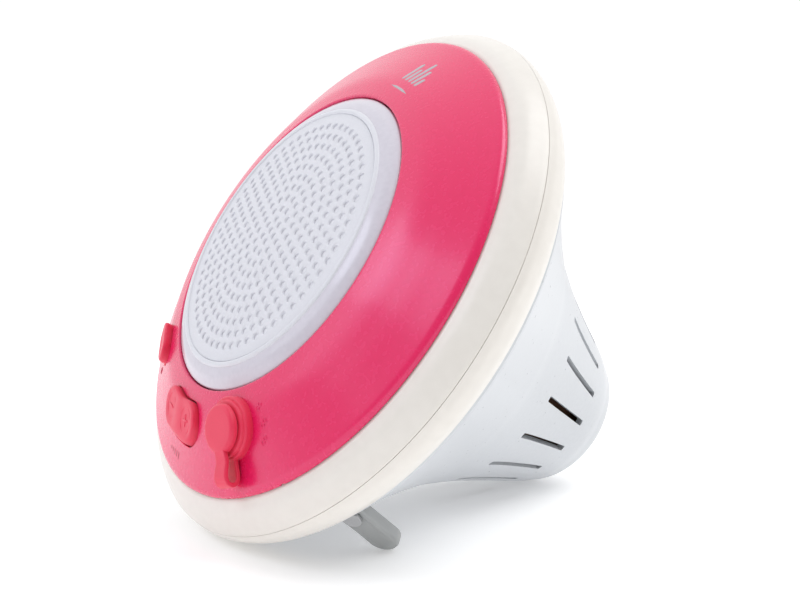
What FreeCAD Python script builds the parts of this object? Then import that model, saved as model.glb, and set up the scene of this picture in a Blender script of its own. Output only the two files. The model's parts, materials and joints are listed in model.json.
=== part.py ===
import FreeCAD, Part
import math
import os

# A floating shower speaker, standing on its fold-out feet, its float ring and the rounded end of its
# slotted tail, with the face looking forwards and up.
#
# Every piece is drawn in the speaker's own frame: z runs along its round axis, out of the face, with
# z = 0 at the outer edge of the bezel. A bearing is an angle about that axis, measured from the lowest
# point of the standing speaker towards +X. standing() then tips the whole speaker into its standing pose.
# All lengths are in millimetres.

FACE_TILT = 30.5            # elevation of the round axis while the speaker stands
BEZEL_R = 75.0              # outer edge of the bezel
RIM_R = 48.4                # inner edge of the bezel, around the grille
RING_R = 83.6               # the float ring at its widest
WALL = 2.4                  # bezel and housing walls
SHELL = 1.9                 # float ring walls

GRILLE_R = 40.4
GRILLE_T = 1.6
GRILLE_CROWN = 14.3         # height of the grille's middle
GRILLE_DOME_R = 445.0
HOLE_R = 1.1
HOLE_PITCH = 3.62
HOLE_RINGS = 10

SLOT_COUNT = 20
SLOT_FIRST = 7.8            # bearing of the first slot
SLOT_W = 1.9
SLOT_TOP = -71.3
SLOT_END = -98.7

SCREW_COUNT = 6
SCREW_AT = 66.0
SCREW_R = 1.45
SCREW_GAP = 0.15
HEAD_R = 2.7

FOOT_BEARING = 30.0
FOOT_AT = 71.6
FOOT_Z = -28.2
FOOT_SPLAY = 13.0           # how far the standing foot leans outwards
FOOT_L = 16.4               # pivot to tip
FOOT_W = 9.0
FOOT_T = 3.4
FOOT_PIN_R = 1.5

KEY_AT = 59.0               # radius on which the keys and the port lie
DOME_SLOPE = 24.0           # slope of the bezel there
ROCKER_BEARING = -12.0
ROCKER_SPAN = 5.6           # half the rocker's angle, without its round ends
ROCKER_W = 11.8
KEY_RISE = 2.6
KEY_DEPTH = 3.6
KEY_GAP = 0.45
SIDE_BEARING = -49.5
STEM_X = 6.5                # the rocker's stems, either side of its pivot
BOARD_TOP = -2.2            # top of the key board
SIDE_SPAN = 3.0
SIDE_W = 7.6
PIVOT_R = 0.8
PIVOT_Z = -4.9              # the rocker's pivot, below the bezel's surface
FIT = 0.05                  # running clearance of pins in their holes

PORT_BEARING = 18.8
PORT_AT = 59.0
PORT_R = 8.6
PORT_MOUTH_R = 5.4
PORT_BORE_R = 6.6           # the room for the sockets, under the mouth
PORT_TOP = 3.2
CAP_R = 6.7
CAP_LOW = 3.5               # underside of the lid, clear of the frame
LOOP_Y = -11.2              # the strap's loop, outwards of the port's middle
LOOP_Z = 3.1
LOOP_R = 2.9
LOOP_T = 1.3
STRAP_W = 5.0
AUX_R = 1.78
SOCKET_DEPTH = 9.0

LED_COUNT = 24

DOME = [(RIM_R, 10.1), (55.7, 8.2), (62.3, 5.35), (68.8, 2.35), (73.8, 0.1)]
TRUMPET = [(76.2, -22.8), (70.3, -30.0), (64.4, -37.5), (58.9, -45.0), (53.8, -52.5), (49.1, -60.0),
           (41.6, -75.0), (35.4, -90.0), (29.8, -105.0)]
TAIL = [(27.2, -110.5), (24.9, -115.0), (20.6, -118.4)]

X = FreeCAD.Vector(1, 0, 0)
Z = FreeCAD.Vector(0, 0, 1)
ORIGIN = FreeCAD.Vector(0, 0, 0)


# ---- drawing helpers ----

def vec(x, y, z):
    return FreeCAD.Vector(x, y, z)


def run_edge(points):
    """A straight edge between two points, or a smooth curve through more."""
    places = [vec(r, 0, h) for r, h in points]
    if len(places) == 2:
        return Part.LineSegment(*places).toShape()
    curve = Part.BSplineCurve()
    curve.interpolate(places)
    return curve.toShape()


def turned(*runs):
    """A solid of revolution whose half section is the closed chain of these runs of (r, z) points."""
    edges = []
    for run, after in zip(runs, runs[1:] + runs[:1]):
        if len(run) > 1:
            edges.append(run_edge(run))
        if math.dist(run[-1], after[0]) > 1e-6:
            edges.append(run_edge([run[-1], after[0]]))
    return Part.Face(Part.Wire(edges)).revolve(ORIGIN, Z, 360)


def disc(r_out, low, high, r_in=0.0):
    """A flat ring or disc about the round axis."""
    return turned([(r_in, low), (r_out, low)], [(r_out, high), (r_in, high)])


def seat(bearing, radius, height, slope=0.0):
    """A placement with x along the rim, y inwards and z outwards along the surface."""
    angle = math.radians(bearing)
    base = vec(radius * math.sin(angle), -radius * math.cos(angle), height)
    turn = FreeCAD.Rotation(Z, bearing).multiply(FreeCAD.Rotation(X, slope))
    return FreeCAD.Placement(base, turn)


def seated(shape, placement):
    moved = shape.copy()
    moved.Placement = placement.multiply(moved.Placement)
    return moved


def block(x0, x1, y0, y1, z0, z1):
    return Part.makeBox(x1 - x0, y1 - y0, z1 - z0, vec(x0, y0, z0))


def peg(x, y, z0, z1, radius):
    return Part.makeCylinder(radius, z1 - z0, vec(x, y, z0), Z)


def polar(bearing, radius, height):
    return seat(bearing, radius, height).Base


def bean(bearing, span, width, low, high, centre=KEY_AT):
    """An upright pill that follows a circle about the round axis."""
    def at(angle, radius):
        return polar(bearing + angle, radius, low)

    inner, outer = centre - width / 2, centre + width / 2
    tip = math.degrees(width / 2 / centre)
    arcs = [(at(-span, outer), at(0, outer), at(span, outer)),
            (at(span, outer), at(span + tip, centre), at(span, inner)),
            (at(span, inner), at(0, inner), at(-span, inner)),
            (at(-span, inner), at(-span - tip, centre), at(-span, outer))]
    outline = Part.Wire([Part.Arc(*arc).toShape() for arc in arcs])
    return Part.Face(outline).extrude(vec(0, 0, high - low))


def dome_z(radius):
    """Height of the bezel's face at a radius."""
    for (r0, z0), (r1, z1) in zip(DOME, DOME[1:]):
        if radius <= r1:
            return z0 + (z1 - z0) * (radius - r0) / (r1 - r0)
    return DOME[-1][1]


def dome_band(low, high):
    """The space between two copies of the bezel's face, shifted along the axis."""
    upper = [(r, z + high) for r, z in DOME]
    lower = [(r, z + low) for r, z in reversed(DOME)]
    return turned(upper, lower)


def screw_seats(height):
    step = 360.0 / SCREW_COUNT
    return [seat(step * n, SCREW_AT, height) for n in range(SCREW_COUNT)]


def screw_pegs(low, high, radius):
    return [seated(peg(0, 0, 0, high - low, radius), place) for place in screw_seats(low)]


def joined(shape, *others):
    return shape.fuse(list(others)).removeSplitter()


def group(solids):
    return Part.makeCompound(list(solids))


def key_seat(bearing):
    return seat(bearing, KEY_AT, dome_z(KEY_AT), DOME_SLOPE)


def port_seat():
    return seat(PORT_BEARING, PORT_AT, dome_z(PORT_AT), DOME_SLOPE)


# ---- the face ----

def bezel():
    under = [(r, z - WALL) for r, z in reversed(DOME)]
    under[-1] = (RIM_R + WALL, under[-1][1])
    shell = turned(DOME, [(74.7, -0.5), (BEZEL_R, -1.0)], [(BEZEL_R, -1.8), (73.0, -1.8)],
                   [(73.0, -4.1), (71.0, -4.1)], under, [(RIM_R + WALL, 5.6), (RIM_R, 5.6)])
    wells = [bean(ROCKER_BEARING, ROCKER_SPAN, ROCKER_W + 2 * KEY_GAP, -6, 14),
             bean(SIDE_BEARING, SIDE_SPAN, SIDE_W + 2 * KEY_GAP, -6, 14),
             seated(peg(0, 0, -12, 12, PORT_R - 0.8), port_seat())]
    shell = shell.cut(wells)
    lugs = [block(-2.2, 2.2, y, y + 2.2, PIVOT_Z - 1.4, -1.2) for y in (-11.4, 7.2)]
    shell = joined(shell, *[seated(lug, key_seat(ROCKER_BEARING)) for lug in lugs])
    return shell.cut(seated(rocker_pivot(PIVOT_R + FIT), key_seat(ROCKER_BEARING)))


def rocker_pivot(radius, low=-12.0, high=12.0):
    return Part.makeCylinder(radius, high - low, vec(0, low, PIVOT_Z), vec(0, 1, 0))


def key_cap(bearing, span, width):
    """A key whose top follows the bezel's face and whose walls run along the axis."""
    pill = bean(bearing, span, width, -6, 16)
    return pill.common(dome_band(-KEY_DEPTH, KEY_RISE))


def rocker_key():
    cap = key_cap(ROCKER_BEARING, ROCKER_SPAN, ROCKER_W)
    hub = block(-2.2, 2.2, -6.6, 4.6, PIVOT_Z - 1.5, -1.4)
    stems = [seated(peg(x, 0, -6.6, -2.0, 1.2), key_seat(ROCKER_BEARING)) for x in (-STEM_X, STEM_X)]
    key = joined(cap, seated(hub, key_seat(ROCKER_BEARING)), *stems)
    return key.cut(seated(rocker_pivot(PIVOT_R + FIT), key_seat(ROCKER_BEARING)))


def side_key():
    stem = seated(peg(0, 0, -6.0, -2.0, 1.6), key_seat(SIDE_BEARING))
    return joined(key_cap(SIDE_BEARING, SIDE_SPAN, SIDE_W), stem)


def grille_cap(low, high, radius):
    """A thin round cap, parallel to the grille's outer face."""
    centre = vec(0, 0, GRILLE_CROWN - GRILLE_DOME_R)
    outer = Part.makeSphere(GRILLE_DOME_R + high, centre)
    inner = Part.makeSphere(GRILLE_DOME_R + low, centre)
    blank = Part.makeCylinder(radius, 12, vec(0, 0, 5), Z)
    return blank.common(outer).cut(inner)


def speaker_grille():
    holes = [peg(0, 0, 5, 18, HOLE_R)]
    for ring in range(1, HOLE_RINGS + 1):
        for n in range(6 * ring):
            holes.append(peg(*polar(60.0 * n / ring, HOLE_PITCH * ring, 0)[:2], 5, 18, HOLE_R))
    return grille_cap(-GRILLE_T, 0, GRILLE_R).cut(holes)


def grille_trim():
    crest = [(40.7, 12.0), (41.2, 12.75), (42.2, 12.55), (45.4, 11.3), (47.9, 9.7)]
    return turned(crest, [(48.1, 9.2), (48.1, 7.6)], [(46.4, 7.2), (46.4, -4.0)],
                  [(44.6, -4.0), (44.6, 8.4)], [(38.8, 8.8), (38.8, 10.4), (40.7, 10.4)])


# ---- keys, port and sockets ----

def switch_places():
    rocker = key_seat(ROCKER_BEARING)
    spots = [rocker.multVec(vec(x, 0, -9.0)) for x in (-STEM_X, STEM_X)]
    spots.append(key_seat(SIDE_BEARING).multVec(vec(0, 0, -9.0)))
    return [vec(spot.x, spot.y, BOARD_TOP + 0.05) for spot in spots]


def switches():
    solids = []
    for spot in switch_places():
        body = Part.makeBox(5.2, 5.2, 1.6, spot - vec(2.6, 2.6, 0))
        solids.append(joined(body, Part.makeCylinder(1.2, 0.3, spot + vec(0, 0, 1.6), Z)))
    return group(solids)


def key_board():
    sector = disc(62.4, BOARD_TOP - 1.2, BOARD_TOP, r_in=50.0)
    return sector.common(bean(-30.0, 18.0, 30.0, -5, 0, centre=57.0))


def port_frame():
    flange = peg(0, 0, 0.9, PORT_TOP, PORT_R)
    rims = [edge for edge in flange.Edges if abs(edge.CenterOfMass.z - PORT_TOP) < 1e-6]
    flange = flange.makeFillet(0.8, rims)
    barrel = peg(0, 0, -4.6, 0.9, PORT_R - 1.0)
    foot_z = LOOP_Z - LOOP_R
    tail = block(-STRAP_W / 2, STRAP_W / 2, LOOP_Y, -PORT_R + 1.4, foot_z, foot_z + LOOP_T)
    room = [peg(0, 0, -6, 4, PORT_MOUTH_R), peg(0, 0, -6, 0.9, PORT_BORE_R)]
    shape = joined(flange, barrel, tail).cut(room)
    return seated(shape, port_seat())


def port_cap():
    top = LOOP_Z + LOOP_R
    lid = peg(0, 0, CAP_LOW, top, CAP_R)
    rims = [edge for edge in lid.Edges if abs(edge.CenterOfMass.z - top) < 1e-6]
    plug = peg(0, 0, 0.8, CAP_LOW, PORT_MOUTH_R - 0.6)
    return seated(joined(lid.makeFillet(0.9, rims), plug), port_seat())


def port_strap():
    """The rubber loop that ties the cap to its frame."""
    loop = Part.makeCylinder(LOOP_R, STRAP_W, vec(-STRAP_W / 2, LOOP_Y, LOOP_Z), X)
    bore = Part.makeCylinder(LOOP_R - LOOP_T, STRAP_W, vec(-STRAP_W / 2, LOOP_Y, LOOP_Z), X)
    half = block(-STRAP_W, STRAP_W, LOOP_Y - LOOP_R - 1, LOOP_Y, -2, 8)
    bend = loop.cut(bore).common(half)
    top = LOOP_Z + LOOP_R
    arm = block(-STRAP_W / 2, STRAP_W / 2, LOOP_Y, -CAP_R - 0.05, top - LOOP_T, top)
    return seated(joined(bend, arm), port_seat())


def aux_socket():
    barrel = peg(3.0, 0, -SOCKET_DEPTH, 0, 3.1)
    return seated(barrel.cut(peg(3.0, 0, -SOCKET_DEPTH - 1, 1, AUX_R)), port_seat())


def usb_socket():
    shell = block(-4.1, -1.1, -3.9, 3.9, -SOCKET_DEPTH, 0)
    tongue_gap = block(-3.7, -1.5, -3.5, 3.5, -5.5, 1)
    tongue = block(-2.8, -2.4, -2.6, 2.6, -6.0, -1.0)
    return seated(joined(shell.cut(tongue_gap), tongue), port_seat())


def port_board():
    return seated(peg(0, 0, -SOCKET_DEPTH - 1.3, -SOCKET_DEPTH - 0.1, 6.4), port_seat())


# ---- frame and float ring ----

def chassis():
    plate = disc(74.6, -6.2, -4.2, r_in=37.4)
    rim = disc(72.6, -12.8, -6.2, r_in=70.2)
    bosses = screw_pegs(-14.8, -6.2, 3.2)
    posts = [Part.makeCylinder(1.8, BOARD_TOP + 2.9, polar(b, 57.0, -4.2), Z) for b in (-58.0, -33.0, -3.0)]
    window = seated(peg(0, 0, -16, 4, 7.6), port_seat())
    holes = screw_pegs(-16, 0, SCREW_R + SCREW_GAP) + driver_pegs(-7, 0, 1.0 + FIT)
    return joined(plate, rim, *bosses, *posts).cut([window] + holes)


def ring_front():
    skin = [(75.7, -2.1), (79.2, -3.75), (82.2, -7.0), (83.15, -8.4)]
    lining = [(81.2, -8.4), (80.6, -7.6), (78.3, -5.6), (75.7, -4.05)]
    return turned([(73.2, -2.1), (75.7, -2.1)], skin, lining, [(73.2, -4.05)])


def ring_rear():
    skin = [(83.25, -8.55), (RING_R, -11.25), (82.7, -14.8), (80.8, -17.8), (79.2, -18.9)]
    lining = [(78.6, -17.0), (80.6, -14.4), (RING_R - SHELL, -11.25), (81.35, -8.55)]
    ring = turned(skin, [(79.2, -18.9), (62.4, -18.9)], [(62.4, -17.1), (78.6, -17.1)], lining)
    return ring.cut(screw_pegs(-20, -16, SCREW_R + SCREW_GAP))


def led_board():
    return disc(78.2, -16.9, -15.9, r_in=73.2)


def leds():
    chip = block(-1.6, 1.6, -1.5, 1.5, 0, 1.4)
    step = 360.0 / LED_COUNT
    return group(seated(chip, seat(step * n, 75.6, -15.85)) for n in range(LED_COUNT))


def main_seal():
    return Part.makeTorus(71.4, 0.95, vec(0, 0, -13.9), Z)


def frame_screws():
    solids = []
    for place in screw_seats(-26.5):
        shank = peg(0, 0, 0, 22.3, SCREW_R)
        head = peg(0, 0, 22.35, 24.2, HEAD_R).cut(peg(0, 0, 23.0, 25, 1.1))
        solids.append(seated(joined(shank, peg(0, 0, 22.3, 22.4, SCREW_R), head), place))
    return group(solids)


# ---- rear housing, feet and tail ----

def foot_seat(side):
    return seat(side * FOOT_BEARING, FOOT_AT, FOOT_Z, 90 - FOOT_SPLAY)


def foot_sweep(side):
    """The room a foot needs from standing to folded, open outwards."""
    floor, top, reach, half = -FOOT_T / 2 - 0.3, 16.0, FOOT_L + 5.2, FOOT_W / 2 + 0.5
    quarter = Part.makeCylinder(reach, top - floor, vec(0, 0, floor), Z, 90)
    quarter.rotate(ORIGIN, Z, 180 if side > 0 else 270)
    folded = block(-reach, 0, -half, half, floor, top)
    if side < 0:
        folded = block(0, reach, -half, half, floor, top)
    standing = block(-half, half, -reach, 0, floor, top)
    room = joined(quarter, folded, standing, peg(0, 0, floor, top, half))
    return seated(room, foot_seat(side))


def housing_inside():
    """The hollow of the rear housing."""
    wall = [(r - WALL - 0.4, z) for r, z in TRUMPET]
    wall[0] = (72.0, -21.4)
    end = [(24.6, -111.0), (22.0, -114.4), (17.6, -115.8)]
    return turned([(0, -18.0), (72.0, -18.0)], wall, end, [(0, -115.8)])


def foot_block(side):
    """Solid plastic behind each foot's recess."""
    width = FOOT_L + 8
    low, high = (-width, 7.5) if side > 0 else (-7.5, width)
    return seated(block(low, high, -6.5, 7.2, -5.2, 6), foot_seat(side))


def housing_skin():
    """The rear housing's outer form, filled."""
    return turned([(0, -19.1), (78.6, -19.1)], [(78.6, -20.7), (77.4, -21.3)], TRUMPET, TAIL,
                  [(20.6, -120.0), (0, -120.0)])


def rear_housing():
    skin = housing_skin()
    shell = skin.cut(housing_inside())
    blocks = [foot_block(side).common(skin) for side in (-1, 1)]
    flange = disc(77.0, -21.1, -19.1, r_in=62.4)
    shell = joined(shell, flange, *screw_pegs(-27.5, -19.1, 3.2), *blocks)
    slots = [seated(block(-SLOT_W / 2, SLOT_W / 2, -12, 14, 0, SLOT_TOP - SLOT_END), place)
             for place in slot_seats()]
    cuts = slots + [foot_sweep(side) for side in (-1, 1)] + [peg(0, 0, -121, -110, 20.7)]
    cuts += screw_pegs(-26.7, -15, SCREW_R + 0.05)
    cuts += [seated(peg(0, 0, -5.0, 2, FOOT_PIN_R + FIT), foot_seat(side)) for side in (-1, 1)]
    return shell.cut(cuts)


def slot_seats():
    step = 360.0 / SLOT_COUNT
    return [seat(SLOT_FIRST + step * n, 34.0, SLOT_END) for n in range(SLOT_COUNT)]


def base_plug():
    face = [(20.4, -118.5), (17.6, -119.9), (11.0, -121.4)]
    plug = turned(face, [(11.0, -121.4), (0, -121.4)], [(0, -113.6), (20.4, -113.6)])
    return plug.cut(peg(0, 0, -122, -113, 1.75)).cut(peg(0, 0, -122, -118.6, 3.4))


def foot(side):
    """A round-ended tongue that turns on a pin through its root."""
    half = FOOT_W / 2
    low = -FOOT_T / 2
    tongue = block(-half, half, -FOOT_L + half, 0, low, -low)
    tongue = joined(tongue, peg(0, 0, low, -low, half), peg(0, -FOOT_L + half, low, -low, half))
    rims = [edge for edge in tongue.Edges if abs(abs(edge.CenterOfMass.z) - FOOT_T / 2) < 1e-6]
    tongue = tongue.makeFillet(0.7, rims)
    grip = block(-half + 2.0, half - 2.0, -FOOT_L + 3.2, -4.6, -low - 0.5, -low + 1)
    shape = tongue.cut(grip).cut(peg(0, 0, -4, 4, FOOT_PIN_R + FIT))
    return seated(shape, foot_seat(side))


def foot_pins():
    solids = []
    for side in (-1, 1):
        pin = peg(0, 0, -4.8, FOOT_T / 2 + 0.3, FOOT_PIN_R)
        cap = peg(0, 0, FOOT_T / 2 + 0.3, FOOT_T / 2 + 1.1, 2.8)
        solids.append(seated(joined(pin, cap), foot_seat(side)))
    return group(solids)


def inner_tub():
    """The watertight cup behind the driver."""
    outside = [(61.2, -17.0), (59.5, -30.0), (55.2, -38.0), (49.2, -48.0), (43.5, -58.0)]
    inside = [(41.6, -57.4), (47.2, -47.6), (53.2, -37.6), (57.5, -29.6), (59.2, -17.0)]
    tub = turned([(72.4, -15.0), (72.4, -17.0)], [(61.2, -17.0)], outside, [(41.0, -60.0), (0, -60.0)],
                 [(0, -58.2), (40.6, -58.2)], inside, [(59.2, -15.0)])
    return tub.cut(screw_pegs(-18, -14, SCREW_R + SCREW_GAP))


def ballast_weight():
    plate = disc(24.0, -104.0, -79.0, r_in=2.2)
    return joined(plate, disc(20.0, -112.8, -104.0, r_in=2.2))


def ballast_screw():
    shank = peg(0, 0, -118.7, -90.0, 1.6)
    return joined(shank, peg(0, 0, -120.7, -118.7, 3.0)).cut(peg(0, 0, -121, -119.7, 1.3))


# ---- the driver ----

def driver_basket():
    cone = turned([(37.2, -3.4), (43.4, -3.4)], [(43.4, -1.9), (36.9, -1.9)],
                  [(36.2, -3.2), (22.4, -17.6)], [(22.4, -20.4), (10.2, -20.4)],
                  [(10.2, -21.6), (23.6, -21.6)], [(23.6, -18.2), (37.2, -4.4)])
    windows = [seated(block(-7, 7, -6, 6, 0, 9), seat(60.0 * n, 29.0, -16.6)) for n in range(6)]
    return cone.cut(windows + driver_pegs(-7, 0, 1.2))


def driver_pegs(low, high, radius):
    return [seated(peg(0, 0, low, high, radius), seat(45.0 + 90.0 * n, 40.6, 0)) for n in range(4)]


def driver_gasket():
    return disc(43.4, -4.15, -3.45, r_in=38.0).cut(driver_pegs(-7, 0, 1.2))


def driver_screws():
    pins = driver_pegs(-6.0, -1.85, 1.0)
    heads = driver_pegs(-1.85, -0.6, 1.9)
    return group(joined(pin, head) for pin, head in zip(pins, heads))


def magnet():
    return disc(21.0, -30.6, -21.7, r_in=11.5)


def back_plate():
    return joined(disc(18.5, -33.0, -30.7), disc(7.6, -30.7, -19.6))


def voice_coil():
    return disc(9.2, -25.0, -14.4, r_in=8.8)


def speaker_cone():
    face = [(31.4, -3.2), (24.0, -7.0), (9.3, -14.3)]
    back = [(9.3, -15.0), (24.0, -7.7), (31.4, -3.9)]
    return turned(face, back)


def dust_cap():
    face = [(9.25, -14.2), (6.4, -12.0), (3.2, -11.0), (0, -10.7)]
    back = [(0, -11.3), (3.2, -11.6), (6.2, -12.6), (8.4, -14.2)]
    return turned(face, back)


def surround():
    roll = [(31.5, -1.9), (32.6, -0.4), (34.2, 0.3), (35.8, -0.4), (36.8, -1.2)]
    under = [(36.4, -1.85), (35.3, -0.9), (34.2, -0.4), (33.1, -0.9), (32.2, -2.6)]
    return turned(roll, [(38.6, -1.2), (38.6, -1.85)], under, [(31.5, -2.6)])


# ---- electronics ----

def main_board():
    return disc(44.0, -36.0, -34.4)


def board_parts():
    spots = [(-24, 8, 12, 12, 1.6), (6, -30, 9, 9, 1.4), (16, 10, 7, 12, 2.0), (-6, 20, 8, 8, 1.9),
             (-34, -14, 10, 8, 1.8), (24, -12, 6, 6, 1.4)]
    return group(Part.makeBox(w, d, h, vec(x, y, -36.05 - h)) for x, y, w, d, h in spots)


def battery():
    cells = []
    for y in (-9.7, 9.7):
        can = Part.makeCylinder(9.2, 64.0, vec(-32.0, y, -47.4), X)
        cells.append(joined(can, Part.makeCylinder(2.8, 66.0, vec(-32.0, y, -47.4), X)))
    return group(cells)


def battery_tray():
    tray = block(-33.0, 33.0, -16.0, 16.0, -58.0, -52.6)
    beds = [Part.makeCylinder(9.4, 70.0, vec(-35.0, y, -47.4), X) for y in (-9.7, 9.7)]
    return tray.cut(beds)


PIECES = {
    "bezel": bezel,
    "rocker_key": rocker_key,
    "side_key": side_key,
    "speaker_grille": speaker_grille,
    "grille_trim": grille_trim,
    "grille_cloth": lambda: grille_cap(-GRILLE_T - 0.7, -GRILLE_T - 0.2, 38.6),
    "rocker_pin": lambda: seated(rocker_pivot(PIVOT_R, -11.2, 9.2), key_seat(ROCKER_BEARING)),
    "key_switches": switches,
    "key_board": key_board,
    "port_frame": port_frame,
    "port_cap": port_cap,
    "port_strap": port_strap,
    "aux_socket": aux_socket,
    "usb_socket": usb_socket,
    "port_board": port_board,
    "chassis": chassis,
    "ring_front": ring_front,
    "ring_rear": ring_rear,
    "led_board": led_board,
    "leds": leds,
    "main_seal": main_seal,
    "frame_screws": frame_screws,
    "rear_housing": rear_housing,
    "base_plug": base_plug,
    "foot_left": lambda: foot(-1),
    "foot_right": lambda: foot(1),
    "foot_pins": foot_pins,
    "inner_tub": inner_tub,
    "ballast_weight": ballast_weight,
    "ballast_screw": ballast_screw,
    "driver_basket": driver_basket,
    "driver_gasket": driver_gasket,
    "driver_screws": driver_screws,
    "magnet": magnet,
    "back_plate": back_plate,
    "voice_coil": voice_coil,
    "speaker_cone": speaker_cone,
    "dust_cap": dust_cap,
    "surround": surround,
    "main_board": main_board,
    "board_parts": board_parts,
    "battery": battery,
    "battery_tray": battery_tray,
}


def standing():
    """The turn that tips the round axis from upright to its standing elevation."""
    return FreeCAD.Placement(ORIGIN, FreeCAD.Rotation(X, 90 - FACE_TILT))


def main():
    os.makedirs("parts", exist_ok=True)
    shapes = {name: seated(make(), standing()) for name, make in PIECES.items()}
    box = Part.makeCompound(list(shapes.values())).optimalBoundingBox()
    shift = vec(-(box.XMin + box.XMax) / 2, -(box.YMin + box.YMax) / 2, -box.ZMin)
    for name, shape in shapes.items():
        shape.translate(shift)
        shape.exportStep(os.path.join("parts", name + ".step"))
        low = shape.optimalBoundingBox().ZMin
        print(f"{name:16s} {len(shape.Solids):3d} solids {shape.Volume / 1000:8.2f} cm3 low {low:7.3f}"
              f" valid {shape.isValid()}")
    print("round axis origin at", [round(value, 3) for value in shift])


main()
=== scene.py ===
"""Looks of a floating shower speaker, built around its CAD frame.

Pieces are drawn in millimetres in the speaker's own frame: z runs along its round axis, out of the
face, with z = 0 at the bezel's outer edge. A bearing is an angle about that axis, from the lowest point
of the standing speaker towards +X. settle() moves a finished mesh to its place in the row frame.
"""

import json
import logging
import math
from contextlib import contextmanager
from dataclasses import dataclass, field
from enum import Enum
from typing import Callable, Iterator, Sequence

import bmesh
import bpy
from mathutils import Matrix, Vector


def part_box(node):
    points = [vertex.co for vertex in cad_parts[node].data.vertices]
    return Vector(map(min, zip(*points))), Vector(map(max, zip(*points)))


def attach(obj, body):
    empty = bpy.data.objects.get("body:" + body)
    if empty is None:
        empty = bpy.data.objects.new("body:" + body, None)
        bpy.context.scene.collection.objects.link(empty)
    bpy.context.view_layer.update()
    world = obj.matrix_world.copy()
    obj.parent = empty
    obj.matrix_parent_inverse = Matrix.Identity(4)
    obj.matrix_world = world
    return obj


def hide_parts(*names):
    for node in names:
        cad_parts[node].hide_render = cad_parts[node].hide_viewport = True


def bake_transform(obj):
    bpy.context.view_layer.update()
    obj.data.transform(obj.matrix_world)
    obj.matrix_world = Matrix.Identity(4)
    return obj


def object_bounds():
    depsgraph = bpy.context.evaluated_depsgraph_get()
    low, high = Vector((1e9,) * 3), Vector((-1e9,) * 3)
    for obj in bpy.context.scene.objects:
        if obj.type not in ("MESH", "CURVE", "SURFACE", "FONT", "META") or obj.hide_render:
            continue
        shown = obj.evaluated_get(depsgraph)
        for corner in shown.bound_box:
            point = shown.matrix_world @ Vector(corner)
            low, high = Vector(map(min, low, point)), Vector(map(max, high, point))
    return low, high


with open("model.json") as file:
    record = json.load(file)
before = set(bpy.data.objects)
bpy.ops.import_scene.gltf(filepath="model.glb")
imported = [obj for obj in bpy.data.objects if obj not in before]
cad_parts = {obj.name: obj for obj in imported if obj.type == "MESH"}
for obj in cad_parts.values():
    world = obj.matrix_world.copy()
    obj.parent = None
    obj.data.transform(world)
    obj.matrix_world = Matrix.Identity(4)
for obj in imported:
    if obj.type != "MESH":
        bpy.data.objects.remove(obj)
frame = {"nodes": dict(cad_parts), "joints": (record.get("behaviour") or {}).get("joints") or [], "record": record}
CAD_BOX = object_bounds()

MM = 0.001
STEPS = 224                 # facets round a full turn of the large mouldings
LOG = logging.getLogger("speaker")

Point = tuple[float, float]
Colour = tuple[float, float, float]
Piece = bpy.types.Object


# ---- the speaker's frame ----

def joint(name: str) -> dict:
    """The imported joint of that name."""
    return next(j for j in frame["joints"] if j["name"] == name)


def speaker_place() -> Matrix:
    """The place of the speaker's own frame in the row frame, read from the cone's slide and the magnet.

    Returns:
        A rigid matrix, in metres.
    """
    axis = Vector(joint("cone_travel")["axis"])
    low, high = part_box("magnet")
    magnet_middle = 26.15   # how far behind the bezel's edge the magnet's middle lies
    origin = (low + high) / 2 + axis * magnet_middle * MM
    tip = math.acos(axis.z)
    return Matrix.Translation(origin) @ Matrix.Rotation(tip, 4, "X")


PLACE = speaker_place()
IN_MM = Matrix.Scale(MM, 4)


def seat(bearing: float, radius: float, height: float, slope: float = 0.0) -> Matrix:
    """A frame on the speaker with x along the rim, y inwards and z outwards along the surface.

    Args:
        bearing: degrees from the lowest point towards +X.
        radius: distance from the round axis.
        height: place along the round axis.
        slope: lean of the surface's normal away from the round axis, in degrees.

    Returns:
        A rigid matrix in the speaker's frame, in millimetres.
    """
    angle = math.radians(bearing)
    base = Vector((radius * math.sin(angle), -radius * math.cos(angle), height))
    turn = Matrix.Rotation(angle, 4, "Z") @ Matrix.Rotation(math.radians(slope), 4, "X")
    return Matrix.Translation(base) @ turn


# ---- finishes ----

class Pattern(Enum):
    """What the relief and the colour variation of a finish look like."""

    SPECKLE = "fine moulded grain"
    PEEL = "the soft ripple of thick gloss"
    BRUSHED = "fine lines in one direction"
    TURNED = "fine rings round the axis"
    WEAVE = "woven threads"
    CAST = "pitted cast surface"


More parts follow.
